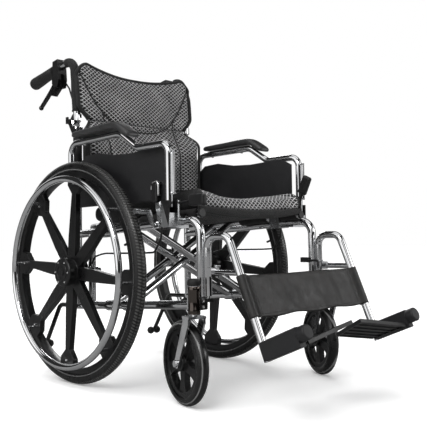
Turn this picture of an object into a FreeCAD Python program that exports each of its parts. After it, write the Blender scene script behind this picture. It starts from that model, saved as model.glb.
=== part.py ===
# Folding manual wheelchair with mag wheels, built as separate pieces in one assembly frame.
# Millimetres, +Z up, the rider faces -Y, the rider's right side is at -X.
# Origin: on the floor, midway between the handrims and midway between grip ends and toe ends.
import FreeCAD, Part
import math
import os

V = FreeCAD.Vector
X_AXIS = V(1, 0, 0)
Y_AXIS = V(0, 1, 0)
Z_AXIS = V(0, 0, 1)

# ---------------------------------------------------------------- driving dimensions
AXLE_Y = 224.75            # rear axle, measured from the middle of the whole length
RUN = 0.05                 # radial running clearance of every turning joint

# rear wheels
WHEEL_R = 305.0            # 24 inch wheel over the tyre
TYRE_R = 17.0              # half the tyre's section
WHEEL_X = 274.6            # mid-plane of the wheel
RIM_R = 278.0
RIM_DEPTH = 16.0
RIM_W = 26.0
SPOKES = 8
SPOKE_START = -4.7         # the first spoke points straight ahead and this many degrees up
HUB_R = 36.0
HUB_IN, HUB_OUT = 250.0, 300.0
CAP_R = 39.0
CAP_OUT = 316.0
HANDRIM_X = 314.6
HANDRIM_R = 255.4
HANDRIM_TUBE = 9.0
AXLE_R = 6.0

# side frames
FRAME_X = 215.0            # plane of the frame tubes
TUBE_R = 11.0
TILT = 3.5                 # both long tubes rise this many degrees towards the front
LOWER_Z = 208.5            # lower tube's centre above the floor, at the axle
UPPER_Z = 412.5            # upper tube's centre above the floor, at the axle
CANE_Y = 69.0
CANE_TOP = 722.0
DOWN_Y = -446.0            # front downtube
HOUSING_X, HOUSING_Y = 255.0, -462.0
HOUSING_R = 14.0
HOUSING_BOTTOM, HOUSING_TOP = 217.0, 283.0

# casters
CASTER_R = 100.0
CASTER_TYRE_R = 14.5
CASTER_RIM_R = 80.0
CASTER_SPOKES = 5
TRAIL = 48.0
STEM_R = 7.0
FORK_IN = 18.5             # half the space between the fork's legs
FORK_T = 5.0
SWIVEL = {"right": -14.8, "left": -28.0}

# folding cross-brace, in heights above the lower tube's centre
SEAT_X = 192.0             # seat tubes, in from the middle
SEAT_H = 220.0
BRACE_PLANES = [(-170.0, -200.0), (-95.0, -125.0)]   # each X: plane of brace a, plane of brace b
BRACE_R = 10.5

# hangers and footplates
HANGER_Y = -468.0
HANGER_R = 9.5
LEG_FOOT = (-651.0, 126.0)
LEG_ANGLE = 23.0           # the leg's slope from upright, and the footplate's from level
HEEL_W, TOE_W = 151.0, 185.0   # the plate's width at its heel and toe edges
PLATE_D = 103.0
PLATE_RISE = 9.0           # the plate's inner end stands this many degrees above its hinge

# armrests
ARM_X = 251.0
ARM_R = 9.5
ARM_PIVOT = (46.0, 602.0)
PAD_X0, PAD_X1 = 232.5, 279.5
PANEL_X = (-236.4, -233.4)
ARM_POST_Y = -375.0
ARM_LOCK_PIVOT = (-388.0, 479.0)
ARM_LOCK_LIFT = {"right": 0.0, "left": 65.0}   # the way each lock lever stands

# folding back
BACK_PIVOT = (88.0, 738.0)
GRIP_R = 16.0

os.makedirs("parts", exist_ok=True)


# ---------------------------------------------------------------- helpers
def cyl(radius, start, end):
    """A round bar between two points."""
    a, b = V(*start), V(*end)
    return Part.makeCylinder(radius, (b - a).Length, a, b - a)


def xbar(radius, x0, x1, y, z):
    """A round bar along X."""
    return cyl(radius, (x0, y, z), (x1, y, z))


def block(x, y, z):
    """A box from three (low, high) pairs."""
    return Part.makeBox(x[1] - x[0], y[1] - y[0], z[1] - z[0], V(x[0], y[0], z[0]))


def plate(points, x0, x1):
    """A flat plate across X from its outline in Y and Z."""
    corners = [V(x0, y, z) for y, z in points]
    face = Part.Face(Part.makePolygon(corners + corners[:1]))
    return face.extrude(V(x1 - x0, 0, 0))


def flat(points, z0, z1):
    """A level plate from its outline in X and Y."""
    corners = [V(x, y, z0) for x, y in points]
    face = Part.Face(Part.makePolygon(corners + corners[:1]))
    return face.extrude(V(0, 0, z1 - z0))


def joined(shapes):
    """Pieces welded into one."""
    body = shapes[0]
    for other in shapes[1:]:
        body = body.fuse(other)
    return body.removeSplitter()


def rounded_path(points, radii):
    """Straight runs joined by tangent arcs."""
    pts = [V(*p) for p in points]
    edges = []
    here = pts[0]
    for i in range(1, len(pts) - 1):
        back = (pts[i - 1] - pts[i]).normalize()
        ahead = (pts[i + 1] - pts[i]).normalize()
        half = back.getAngle(ahead) / 2.0
        cut = radii[i - 1] / math.tan(half)
        start, end = pts[i] + back * cut, pts[i] + ahead * cut
        middle_dir = (back + ahead).normalize()
        centre = pts[i] + middle_dir * (radii[i - 1] / math.sin(half))
        middle = centre - middle_dir * radii[i - 1]
        edges.append(Part.LineSegment(here, start).toShape())
        edges.append(Part.Arc(start, middle, end).toShape())
        here = end
    edges.append(Part.LineSegment(here, pts[-1]).toShape())
    return Part.Wire(edges)


def tube(radius, points, radii):
    """A bent round tube along straight runs and tangent arcs."""
    path = rounded_path(points, radii)
    first = V(*points[1]) - V(*points[0])
    ring = Part.Wire(Part.makeCircle(radius, V(*points[0]), first))
    return path.makePipeShell([ring], True, False)


def lower_z(y):
    """Height of the lower tube's centre."""
    return LOWER_Z - y * math.tan(math.radians(TILT))


def upper_z(y):
    """Height of the upper tube's centre."""
    return UPPER_Z - y * math.tan(math.radians(TILT))


def tilted(shape):
    """Turn a piece built level about the lower tube's line over to the frame's tilt."""
    shape = shape.copy()
    shape.rotate(V(0, 0, LOWER_Z), X_AXIS, -TILT)
    return shape


def around_leg(shape):
    """Place a piece built with its own origin at the leg's foot, toe towards -Y."""
    shape = shape.copy()
    shape.rotate(V(0, 0, 0), X_AXIS, -LEG_ANGLE)
    shape.translate(V(0, LEG_FOOT[0], LEG_FOOT[1]))
    return shape


def softened(shape, radius):
    """Round every edge."""
    return shape.makeFillet(radius, shape.Edges)


# ---------------------------------------------------------------- side frame
def frame():
    x = -FRAME_X
    top = [(x, CANE_Y, upper_z(CANE_Y)), (x, DOWN_Y, upper_z(DOWN_Y)), (x, DOWN_Y, lower_z(DOWN_Y))]
    parts = [
        tube(TUBE_R, top, [38.0]),
        cyl(TUBE_R, (x, CANE_Y, lower_z(CANE_Y)), (x, DOWN_Y, lower_z(DOWN_Y))),
        cyl(TUBE_R, (x, CANE_Y, lower_z(CANE_Y)), (x, CANE_Y, CANE_TOP)),
        cyl(TUBE_R - 0.6, (x, 0, lower_z(0)), (x, 0, upper_z(0))),
        Part.makeSphere(TUBE_R, V(x, CANE_Y, lower_z(CANE_Y))),
        Part.makeSphere(TUBE_R, V(x, DOWN_Y, lower_z(DOWN_Y))),
    ]
    # axle sleeve and caster housing
    parts.append(xbar(12.5, -246.0, -200.0, 0, WHEEL_R))
    foot, head = (-HOUSING_X, HOUSING_Y, HOUSING_BOTTOM), (-HOUSING_X, HOUSING_Y, HOUSING_TOP)
    parts.append(cyl(HOUSING_R, foot, head))
    corner_z = lower_z(DOWN_Y)
    parts.append(block((-HOUSING_X, x), (HOUSING_Y - 4, DOWN_Y + 8), (corner_z - 9, corner_z + 18)))
    # pin that the hanger stands on
    parts.append(block((x - 9, x + 9), (HANGER_Y - 9, DOWN_Y), (244.0, 252.0)))
    parts.append(cyl(5.0, (x, HANGER_Y, 244.0), (x, HANGER_Y, 284.0)))
    # ears of the back's fold joint
    for x0, x1 in ((x - 13.2, x - 10.2), (x + 10.2, x + 13.2)):
        ear = plate([(61, 700), (77, 700), (96, 731), (91, 746), (80, 742), (76, 726), (61, 722)], x0, x1)
        parts.append(ear)
    parts.append(xbar(4.0, x - 16.2, x + 13.2, *BACK_PIVOT))
    # bracket and pin that the armrest turns on
    parts.append(block((x - 16, x), (ARM_PIVOT[0] - 6, CANE_Y), (ARM_PIVOT[1] - 7, ARM_PIVOT[1] + 7)))
    parts.append(xbar(5.0, -256.0, x, *ARM_PIVOT))
    # base of the parking brake with its two pins
    z = upper_z(-320)
    parts.append(block((x - 22, x), (-345, -298), (z - 8, z + 8)))
    parts.append(xbar(4.0, -244.0, x - 20, -332, z))
    parts.append(xbar(4.0, -250.0, x - 20, -310, z))
    body = joined(parts)
    body = body.cut(xbar(AXLE_R + 0.02, -260, -190, 0, WHEEL_R))
    below, above = HOUSING_BOTTOM - 5, HOUSING_TOP + 5
    return body.cut(cyl(STEM_R + RUN, (-HOUSING_X, HOUSING_Y, below), (-HOUSING_X, HOUSING_Y, above)))


def saddles():
    """Two cradles that take the seat tube and one that takes the armrest's post."""
    x = -FRAME_X
    seat = -SEAT_X
    rise = SEAT_H - (UPPER_Z - LOWER_Z)
    made = []
    for y in (-343.0, -30.0):
        level = block((x - 3, seat + 17), (y - 18, y + 18), (UPPER_Z - 15, UPPER_Z + rise + 2))
        level = level.cut(cyl(11.4, (seat, y - 30, UPPER_Z + rise), (seat, y + 30, UPPER_Z + rise)))
        level = level.cut(cyl(TUBE_R + 0.02, (x, y - 30, UPPER_Z), (x, y + 30, UPPER_Z)))
        level = level.cut(block((x - 20, seat - 11.6), (y - 30, y + 30), (UPPER_Z + 12.5, UPPER_Z + 40)))
        level.rotate(V(0, 0, UPPER_Z), X_AXIS, -TILT)
        made.append(level)
    y = ARM_POST_Y
    z = upper_z(y)
    cradle = block((-ARM_X - 14, x + 9), (y - 12, y + 14), (z - 14, z + 50))
    cradle = cradle.cut(cyl(TUBE_R + 0.02, (x, y - 40, upper_z(y - 40)), (x, y + 40, upper_z(y + 40))))
    slot = block((-ARM_X - 10, -ARM_X + 10), (y - 30, y), (z + 20, z + 60))
    slot = slot.fuse(cyl(10, (-ARM_X, y, z + 20), (-ARM_X, y, z + 60)))
    cradle = cradle.cut(slot)
    cradle = cradle.cut(block((-ARM_X + 14.5, 0), (y - 30, y + 30), (z + 18, z + 60)))
    lock_y, lock_z = ARM_LOCK_PIVOT
    lug = block((-ARM_X + 10.2, -ARM_X + 14.5), (lock_y - 6, y + 5), (z - 5, z + 50))
    cradle = joined([cradle, lug, xbar(3.0, -ARM_X + 12, -ARM_X + 24, lock_y, lock_z)])
    made.append(cradle)
    return Part.makeCompound(made)


# ---------------------------------------------------------------- rear wheel
def wheel():
    def ring(outer, inner, x0, x1):
        return xbar(outer, x0, x1, 0, WHEEL_R).cut(xbar(inner, x0 - 1, x1 + 1, 0, WHEEL_R))

    half = RIM_W / 2
    parts = [ring(RIM_R, RIM_R - RIM_DEPTH, -WHEEL_X - half, -WHEEL_X + half)]
    parts.append(xbar(HUB_R, -HUB_OUT, -HUB_IN, 0, WHEEL_R))
    half_outline = [(17, 20), (17, 100), (10, 215), (32, 238), (32, 268)]
    outline = half_outline + [(-a, r) for a, r in reversed(half_outline)]
    for k in range(SPOKES):
        spoke = plate([(-r, a) for a, r in outline], -WHEEL_X - half, -WHEEL_X + 3)
        spoke.rotate(V(0, 0, 0), X_AXIS, -SPOKE_START - 360.0 / SPOKES * k)
        spoke.translate(V(0, 0, WHEEL_R))
        parts.append(spoke)
    body = joined(parts)
    return body.cut(xbar(AXLE_R + RUN, -HUB_OUT - 1, -HUB_IN + 1, 0, WHEEL_R))


def tyre():
    body = Part.makeTorus(WHEEL_R - TYRE_R, TYRE_R, V(-WHEEL_X, 0, WHEEL_R), X_AXIS)
    return body.cut(xbar(RIM_R, -WHEEL_X - 30, -WHEEL_X + 30, 0, WHEEL_R))


def handrim():
    parts = [Part.makeTorus(HANDRIM_R, HANDRIM_TUBE, V(-HANDRIM_X, 0, WHEEL_R), X_AXIS)]
    for k in range(SPOKES):
        a = math.radians(SPOKE_START + 360.0 / SPOKES * k)
        y, z = -HANDRIM_R * math.cos(a), WHEEL_R + HANDRIM_R * math.sin(a)
        parts.append(xbar(5.0, -HANDRIM_X, -WHEEL_X - RIM_W / 2, y, z))
    return joined(parts)


def hub_cap():
    body = xbar(CAP_R, -CAP_OUT, -HUB_OUT, 0, WHEEL_R)
    outer = [e for e in body.Edges if abs(e.CenterOfMass.x + CAP_OUT) < 0.1]
    body = body.makeFillet(5.0, outer)
    return body.cut(xbar(30.0, -HUB_OUT - 10, -HUB_OUT + 1, 0, WHEEL_R))


def axle():
    parts = [xbar(AXLE_R, -HUB_OUT - 6, -190.0, 0, WHEEL_R)]
    parts.append(xbar(10.0, -HUB_OUT - 7, -HUB_OUT - 0.4, 0, WHEEL_R))
    parts.append(xbar(10.0, -199.8, -191.0, 0, WHEEL_R))
    return joined(parts)


# ---------------------------------------------------------------- caster, built straight and then swivelled
def swivelled(shape, side):
    """Turn a straight caster piece of the right side to the way it stands on a side."""
    shape = shape.copy()
    angle = SWIVEL[side] if side == "right" else -SWIVEL[side]
    shape.rotate(V(-HOUSING_X, HOUSING_Y, 0), Z_AXIS, angle)
    return shape


def fork():
    x, y = -HOUSING_X, HOUSING_Y
    wheel_y = y + TRAIL
    crown_z = 202.0
    leg = [
        (y - 12, crown_z + 12), (y + 14, crown_z + 12), (y + 14, crown_z), (wheel_y + 10, 104),
        (wheel_y + 9, 93), (wheel_y + 2, 88), (wheel_y - 6, 90), (wheel_y - 10, 100), (y - 12, crown_z - 6),
    ]
    out = FORK_IN + FORK_T
    parts = [
        block((x - out, x + out), (y - 15, y + 17), (crown_z + 6, crown_z + 12)),
        plate(leg, x - out, x - FORK_IN),
        plate(leg, x + FORK_IN, x + out),
        cyl(STEM_R, (x, y, crown_z + 6), (x, y, HOUSING_TOP + 3)),
        cyl(HOUSING_R, (x, y, HOUSING_TOP + 0.5), (x, y, HOUSING_TOP + 12)),
        xbar(5.0, x - out - 3, x + out + 3, wheel_y, CASTER_R),
        xbar(8.0, x - out - 6, x - out, wheel_y, CASTER_R),
        xbar(8.0, x + out, x + out + 6, wheel_y, CASTER_R),
    ]
    return joined(parts)


def caster():
    x, y, z = -HOUSING_X, HOUSING_Y + TRAIL, CASTER_R
    parts = [
        xbar(CASTER_RIM_R, x - 11, x + 11, y, z).cut(xbar(CASTER_RIM_R - 12, x - 12, x + 12, y, z)),
        xbar(19.0, x - 17, x + 17, y, z),
    ]
    outline = [(-13, 5), (-10, 40), (-17, 72), (17, 72), (10, 40), (13, 5)]
    for k in range(CASTER_SPOKES):
        spoke = plate([(-r, a) for a, r in outline], x - 8, x + 8)
        spoke.rotate(V(0, 0, 0), X_AXIS, 18 + 360.0 / CASTER_SPOKES * k)
        spoke.translate(V(0, y, z))
        parts.append(spoke)
    return joined(parts).cut(xbar(5.0 + RUN, x - 20, x + 20, y, z))


def caster_tyre():
    x, y = -HOUSING_X, HOUSING_Y + TRAIL
    body = Part.makeTorus(CASTER_R - CASTER_TYRE_R, CASTER_TYRE_R, V(x, y, CASTER_R), X_AXIS)
    return body.cut(xbar(CASTER_RIM_R, x - 20, x + 20, y, CASTER_R))


# ---------------------------------------------------------------- hanger and footplate
def hanger():
    x = -FRAME_X
    foot_y, foot_z = LEG_FOOT
    slope = math.tan(math.radians(LEG_ANGLE))
    top_z = 398.0
    shoulder_y = foot_y + (top_z - foot_z) * slope
    path = [(x, HANGER_Y, 258.0), (x, HANGER_Y, top_z), (x, shoulder_y, top_z), (x, foot_y, foot_z)]
    strut_z = 314.0
    strut_y = foot_y + (strut_z - foot_z) * slope
    parts = [tube(HANGER_R, path, [27.0, 27.0])]
    parts.append(cyl(7.0, (x, HANGER_Y, strut_z), (x, strut_y, strut_z)))
    parts.append(block((x - 11, x + 16), (HANGER_Y - 22, HANGER_Y - 6), (strut_z - 10, strut_z + 10)))
    # knob that the latch turns on
    parts.append(cyl(4.0, (x + 15, HANGER_Y - 16, strut_z - 14), (x + 15, HANGER_Y - 16, strut_z + 16)))
    body = joined(parts)
    return body.cut(cyl(5.0 + RUN, (x, HANGER_Y, 250.0), (x, HANGER_Y, 285.0)))


def hanger_latch():
    x = -FRAME_X + 15
    y = HANGER_Y - 16
    eye = cyl(8.0, (x, y, 324.5), (x, y, 329.5))
    arm = block((x + 2, x + 8), (y, y + 56), (324.5, 329.5))
    grip = block((x - 2, x + 9), (y + 36, y + 62), (322.0, 336.0))
    body = joined([eye, arm, grip])
    return body.cut(cyl(4.0 + RUN, (x, y, 320), (x, y, 332)))


def foot_block():
    """Hinge housing along the plate's outer edge, with a round rubber bumper at its toe end."""
    x = -FRAME_X
    housing = block((x - 10, x + 9), (-105, 3), (0, 44))
    housing = housing.makeFillet(3.0, [e for e in housing.Edges if e.BoundBox.YLength > 100])
    bumper = cyl(17.0, (x, -129, 26), (x, -105.1, 26))
    bumper = bumper.makeFillet(4.0, [bumper.Edges[0], bumper.Edges[2]])
    pin = cyl(3.0, (x + 16, -98, 7), (x + 16, -4, 7))
    parts = [housing, pin]
    for y in (-98, -12):
        parts.append(block((x + 8, x + 16), (y, y + 8), (3, 11)))
        parts.append(cyl(5.5, (x + 16, y, 7), (x + 16, y + 8, 7)))
    body = joined(parts).cut(cyl(HANGER_R + 0.08, (x, 0, -20), (x, 0, 60)))
    return Part.makeCompound([around_leg(body), around_leg(bumper)])


def footplate():
    """Tread plate, wider at the toe, with a rim and ribs under it, hinged along its outer edge."""
    x = -FRAME_X + 16
    toe = -PLATE_D
    inner = x + 7

    def end_at(y):
        return x + HEEL_W + (TOE_W - HEEL_W) * y / toe

    def across(y0, y1, z0, z1):
        """A bar from the plate's outer edge to its slanted inner edge."""
        return flat([(inner, y0), (end_at(y0), y0), (end_at(y1), y1), (inner, y1)], z0, z1)

    slant = [(end_at(0) - 4, 0), (end_at(0), 0), (end_at(toe), toe), (end_at(toe) - 4, toe)]
    parts = [across(0, toe, 6, 10), across(toe + 4, toe, 3, 12), across(0, -4, 3, 10), flat(slant, 3, 12)]
    for y in (-80.0, -60.0, -40.0, -20.0):
        parts.append(across(y + 1.5, y - 1.5, 3, 8))
    parts.append(block((inner, inner + 4), (-86, -14), (2, 12)))
    parts.append(block((x, x + 10), (-86, -14), (5, 9)))
    parts.append(cyl(5.5, (x, -86, 7), (x, -14, 7)))
    body = joined(parts).cut(cyl(3.0 + RUN, (x, -120, 7), (x, 20, 7)))
    body.rotate(V(x, 0, 7), Y_AXIS, -PLATE_RISE)
    return around_leg(body)


# ---------------------------------------------------------------- armrest
def arm_tube():
    x = -ARM_X
    y, z = ARM_PIVOT
    post = ARM_POST_Y
    path = [(y, z + 11), (y, 666), (-185, 670), (-256, 625), (post, 626), (post, 470)]
    bent = tube(ARM_R, [(x, a, b) for a, b in path], [32.0, 45.0, 30.0, 27.0])
    eye = xbar(12.0, x - 5.4, x + 5.4, y, z)
    latch_rod = [
        cyl(3.0, (x, post - 17, 500), (x, post - 17, 606)),
        cyl(3.0, (x, post, 604), (x, post - 17, 604)),
        cyl(3.0, (x, post, 503), (x, post - 19, 503)),
    ]
    body = joined([bent, eye] + latch_rod)
    return body.cut(xbar(5.0 + RUN, x - 20, x + 20, y, z))


def arm_pad():
    outline = [(14, 677.5), (14, 695), (-176, 702), (-194, 699), (-250, 664), (-240, 650.5), (-192, 681.5)]
    body = plate(outline, -PAD_X1, -PAD_X0)
    long_edges = [e for e in body.Edges if e.BoundBox.XLength < 1 and e.BoundBox.ZMax > 682]
    return body.makeFillet(4.0, long_edges)


def side_panel():
    outline = [(30, 484), (30, 606), (0, 628), (-60, 632), (-130, 620), (-200, 617), (-262, 620),
               (-330, 620), (-362, 604), (-362, 490)]
    return plate(outline, PANEL_X[0], PANEL_X[1])


def arm_lock(lift):
    """Lever beside the armrest's post, a rod with an oblong grip, standing at its own angle."""
    x = -ARM_X + 19
    y, z = ARM_LOCK_PIVOT
    eye = xbar(7.0, x - 3, x + 3, y, z)
    rod = cyl(3.2, (x, y, z), (x, y - 42, z + 4))
    grip = softened(block((x - 7, x + 8), (y - 92, y - 38), (z - 9, z + 19)), 6.0)
    lever = joined([eye, rod, grip]).cut(xbar(3.0 + RUN, x - 20, x + 20, y, z))
    lever.rotate(V(0, y, z), X_AXIS, -lift)
    return lever


# ---------------------------------------------------------------- folding back and push handle
def back_cane():
    x = -FRAME_X
    path = [(x, 70.5, 741), (x, 84, 927), (x, 300, 886.5)]
    bent = tube(TUBE_R, path, [35.0])
    outline = [(62, 741.5), (79, 729.5), (92, 729.5), (97, 738), (92, 747), (80, 760), (62, 760)]
    lug = plate(outline, x - 9.9, x + 9.9)
    return joined([bent, lug]).cut(xbar(4.0 + RUN, x - 20, x + 20, *BACK_PIVOT))


def push_grip():
    x = -FRAME_X
    slope = (886.5 - 927.0) / (300.0 - 84.0)

    def on_axis(y):
        return (x, y, 927.0 + (y - 84.0) * slope)

    sleeve = cyl(GRIP_R, on_axis(190), on_axis(309))
    ends = [e for e in sleeve.Edges if e.Closed and e.CenterOfMass.y > 300]
    sleeve = sleeve.makeFillet(6.0, ends)
    flange = cyl(GRIP_R + 0.8, on_axis(187), on_axis(193))
    return joined([sleeve, flange]).cut(cyl(TUBE_R + 0.02, on_axis(150), on_axis(300.4)))


def brake_perch():
    """Clamp of the hand brake on the push handle, with its cable as a second piece."""
    x = -FRAME_X
    outline = [(152, 936), (178, 932), (181, 893), (182, 866), (172, 852), (152, 852), (146, 874)]
    clamp = plate(outline, x - 15.5, x + 15.5)
    clamp = clamp.cut(cyl(TUBE_R + 0.02, (x, 84, 927), (x, 300, 886.5)))
    clamp = clamp.cut(block((x - 5.5, x + 5.5), (130, 200), (840, 892)))
    pin = xbar(3.0, x - 15, x + 15, 166, 872)
    perch = joined([clamp, pin])
    run = [(x + 10, 144, 865), (x + 10, 126, 846), (x, 92.5, 803), (x, 87.6, 772)]
    cable = tube(2.5, run, [14.0, 25.0])
    return Part.makeCompound([perch, cable])


def hand_brake():
    """Lever under the grip, broad at its root and a thin arm beyond, ending in a ball."""
    x = -FRAME_X
    blade = plate([(160, 884), (178, 882), (196, 868), (208, 857), (230, 840), (268, 812), (262, 805),
                   (226, 830), (216, 838), (183, 829), (156, 848), (158, 866)], x - 4.5, x + 4.5)
    ball = Part.makeSphere(7.5, V(x, 268, 806))
    return joined([blade, ball]).cut(xbar(3.0 + RUN, x - 20, x + 20, 166, 872))


def back_latch():
    """Release lever of the back's fold joint."""
    x = -FRAME_X - 13.4
    y, z = BACK_PIVOT
    eye = xbar(8.0, x - 2.4, x, y, z)
    arm = plate([(y, z - 6), (y + 14, z - 2), (y + 14, z + 14), (y, z + 7)], x - 2.4, x)
    tab = block((x - 2.4, x + 1.8), (y + 9, y + 19), (z - 4, z + 16))
    return joined([eye, arm, tab]).cut(xbar(4.0 + RUN, x - 10, x + 10, y, z))


# ---------------------------------------------------------------- parking brake
def brake_lever():
    """Flat lever with its plastic grip and a bent end on top."""
    z = upper_z(-320)
    x0, x1 = -242.5, -238.0
    outline = [(-340, z - 8), (-324, z - 8), (-308, z + 62), (-308, z + 96), (-324, z + 96), (-324, z + 62)]
    arm = plate(outline, x0, x1)
    grip = softened(block((-252.5, -237.8), (-328, -306), (482, 532)), 5.0)
    bend = [(-323, 530), (-306, 530), (-308, 537), (-317, 540), (-326, 536), (-332, 527), (-327, 525)]
    hook = plate(bend, x0 - 4, x1)
    return joined([arm, grip, hook]).cut(xbar(4.0 + RUN, -260, -230, -332, z))


def brake_shoe():
    """Rocker with the bar that presses on the tyre."""
    z = upper_z(-320)
    x0, x1 = -249.0, -244.6
    arm = plate([(-317, z - 7), (-303, z - 7), (-283, z + 24), (-287, z + 37), (-297, z + 33)], x0, x1)
    bar = xbar(7.0, -291.0, x1, -290, z + 30)
    return joined([arm, bar]).cut(xbar(4.0 + RUN, -260, -230, -310, z))


def brake_cable():
    """Cable from the brake's base along the frame to the hub's inner side."""
    x = -230.5
    path = [(x, -322, 422.7), (x, -318, 392), (x, -292, 359), (x, -246, 357), (x, -75, 355), (x, -34, 345),
            (x, -22, 326)]
    return tube(2.5, path, [16.0, 16.0, 300.0, 160.0, 18.0])


def tip_lever():
    """Bent bar behind the lower tube, ending in two round rubber buffers."""
    x = -FRAME_X
    y, z = CANE_Y + 11.2, lower_z(CANE_Y + 11.2)
    path = [(x, y, z), (x, 165, 201), (x, 243, 80)]
    bar = tube(6.5, path, [28.0])
    cross = xbar(5.0, x - 12, x + 12, 246, 77)
    balls = [Part.makeSphere(12.0, V(x + side * 13.5, 247, 76)) for side in (-1, 1)]
    return joined([bar, cross] + balls)


# ---------------------------------------------------------------- folding cross-brace
def brace(side, planes, bolt_from):
    """One pair of brace tubes from the lower tube of one side to the seat tube of the other.

    side is -1 for the pair that starts at the right lower tube. Built level, then tilted.
    """
    low = (side * FRAME_X, LOWER_Z)
    top = (-side * SEAT_X, LOWER_Z + SEAT_H)
    run_x, run_z = top[0] - low[0], top[1] - low[1]
    length = math.hypot(run_x, run_z)
    start = 15.0 / length
    centre_z = LOWER_Z + SEAT_H * FRAME_X / (FRAME_X + SEAT_X)
    parts = []
    for y in planes:
        first = (low[0] + run_x * start, y, low[1] + run_z * start)
        parts.append(cyl(BRACE_R, first, (top[0], y, top[1])))
        parts.append(cyl(15.0, (low[0], y - 17, low[1]), (low[0], y + 17, low[1])))
    parts.append(cyl(TUBE_R, (top[0], -440, top[1]), (top[0], 12, top[1])))
    body = joined(parts)
    body = body.cut(cyl(TUBE_R + RUN, (low[0], -480, low[1]), (low[0], 100, low[1])))
    if bolt_from is None:
        for y in planes:
            body = body.cut(cyl(5.0 + RUN, (0, y - 30, centre_z), (0, y + 30, centre_z)))
        return tilted(body)
    bolts = []
    for y, toward in zip(planes, bolt_from):
        bolts.append(tilted(joined([
            cyl(5.0, (0, y + 14, centre_z), (0, toward - 15, centre_z)),
            cyl(9.0, (0, y + 11, centre_z), (0, y + 15, centre_z)),
            cyl(8.0, (0, toward + 10.7, centre_z), (0, y - 10.7, centre_z)),
            cyl(9.0, (0, toward - 15, centre_z), (0, toward - 11, centre_z)),
        ])))
        body = body.cut(cyl(5.0 + 0.01, (0, y + 30, centre_z), (0, y - 20, centre_z)))
    return Part.makeCompound([tilted(body)] + bolts)


# ---------------------------------------------------------------- soft pieces
def seat_sling():
    """Fabric between the seat tubes."""
    z = LOWER_Z + SEAT_H
    return tilted(block((-176, 176), (-436, 10), (z + 8.5, z + 11.5)))


def seat_cushion():
    z = LOWER_Z + SEAT_H
    body = block((-202, 202), (-448, 8), (z + 12.5, z + 62))
    return tilted(softened(body, 14.0))


def backrest():
    """Sling back with its thicker lower part, between the canes, its top edge dipping in the middle."""
    outline = [(40, 512), (57, 512), (56.5, 745), (68, 908), (56, 908), (44, 760), (16, 700), (10, 540)]
    dip_r, dip_z = 556.0, 870.0
    dip = cyl(dip_r, (0, 0, dip_z + dip_r), (0, 120, dip_z + dip_r))
    return plate(outline, -202, 202).cut(dip)


def calf_strap():
    """Wide band between the hangers' legs."""
    slope = math.tan(math.radians(LEG_ANGLE))
    foot_y, foot_z = LEG_FOOT
    outline = []
    for z, depth in ((216, -4), (308, -4), (308, 4), (216, 4)):
        outline.append((foot_y + (z - foot_z) * slope + depth, z))
    return plate(outline, -204, 204)


# ---------------------------------------------------------------- assembly
def mirrored(shape):
    return shape.mirror(V(0, 0, 0), X_AXIS)


def write(name, shape):
    placed = shape.copy()
    placed.translate(V(0, AXLE_Y, 0))
    placed.exportStep("parts/" + name + ".step")
    box = placed.BoundBox
    extent = (box.XMin, box.XMax, box.YMin, box.YMax, box.ZMin, box.ZMax)
    print("%-20s solids %2d valid %s" % (name, len(placed.Solids), placed.isValid()), end="  ")
    print("x %7.1f %7.1f  y %7.1f %7.1f  z %6.1f %6.1f" % extent)


MIRRORED = {
    "frame": frame, "saddles": saddles, "wheel": wheel, "tyre": tyre, "handrim": handrim,
    "hub_cap": hub_cap, "axle": axle, "hanger": hanger, "hanger_latch": hanger_latch,
    "foot_block": foot_block, "footplate": footplate, "arm_tube": arm_tube, "arm_pad": arm_pad,
    "side_panel": side_panel, "back_cane": back_cane, "push_grip": push_grip,
    "brake_perch": brake_perch, "hand_brake": hand_brake, "back_latch": back_latch,
    "brake_lever": brake_lever, "brake_shoe": brake_shoe, "brake_cable": brake_cable,
    "tip_lever": tip_lever,
}
SWIVELLED = {"fork": fork, "caster": caster, "caster_tyre": caster_tyre}

for piece, make in MIRRORED.items():
    right = make()
    write("right_" + piece, right)
    write("left_" + piece, mirrored(right))

for piece, make in SWIVELLED.items():
    straight = make()
    write("right_" + piece, swivelled(straight, "right"))
    write("left_" + piece, mirrored(swivelled(straight, "left")))

write("right_arm_lock", arm_lock(ARM_LOCK_LIFT["right"]))
write("left_arm_lock", mirrored(arm_lock(ARM_LOCK_LIFT["left"])))

a_planes = [a for a, b in BRACE_PLANES]
b_planes = [b for a, b in BRACE_PLANES]
write("brace_a", brace(-1, a_planes, b_planes))
write("brace_b", brace(1, b_planes, None))
write("seat_sling", seat_sling())
write("seat_cushion", seat_cushion())
write("backrest", backrest())
write("calf_strap", calf_strap())
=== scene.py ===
"""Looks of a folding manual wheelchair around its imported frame. Metres, +Z up, the rider faces -Y."""

import math

import bmesh
import bpy
import numpy as np
from mathutils import Matrix, Vector, noise
from mathutils.bvhtree import BVHTree


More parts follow.
